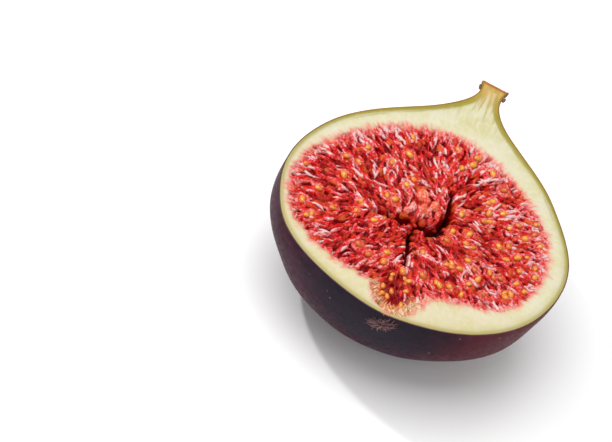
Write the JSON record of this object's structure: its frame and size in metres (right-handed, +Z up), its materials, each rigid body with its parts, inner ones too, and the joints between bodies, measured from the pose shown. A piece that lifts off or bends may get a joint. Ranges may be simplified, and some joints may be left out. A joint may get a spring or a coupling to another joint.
{
  "type": "fresh fig",
  "caption": "Half of a fresh purple fig, cut lengthwise from stem to eye, lying on its round back with the seeded red pulp facing up.",
  "frame": {"origin": "middle of the flat that the back rests on", "axes": "+Z up out of the cut face, +Y from the eye towards the stem, +X across the cut face to the right seen from the eye"},
  "size_m": [0.0613, 0.0666, 0.0293],
  "materials": {
    "fig_skin": "dark purple ripe skin with a waxy bloom, satin",
    "fig_flesh": "moist cream flesh, green-yellow next to the skin",
    "fig_pulp": "wet crimson pulp of fine threads",
    "fig_seed": "wet golden seeds",
    "fig_stem": "dried brown rim of the cut stem"
  },
  "bodies": {
    "root": {"fig_half": "fig_skin"}
  },
  "joints": []
}
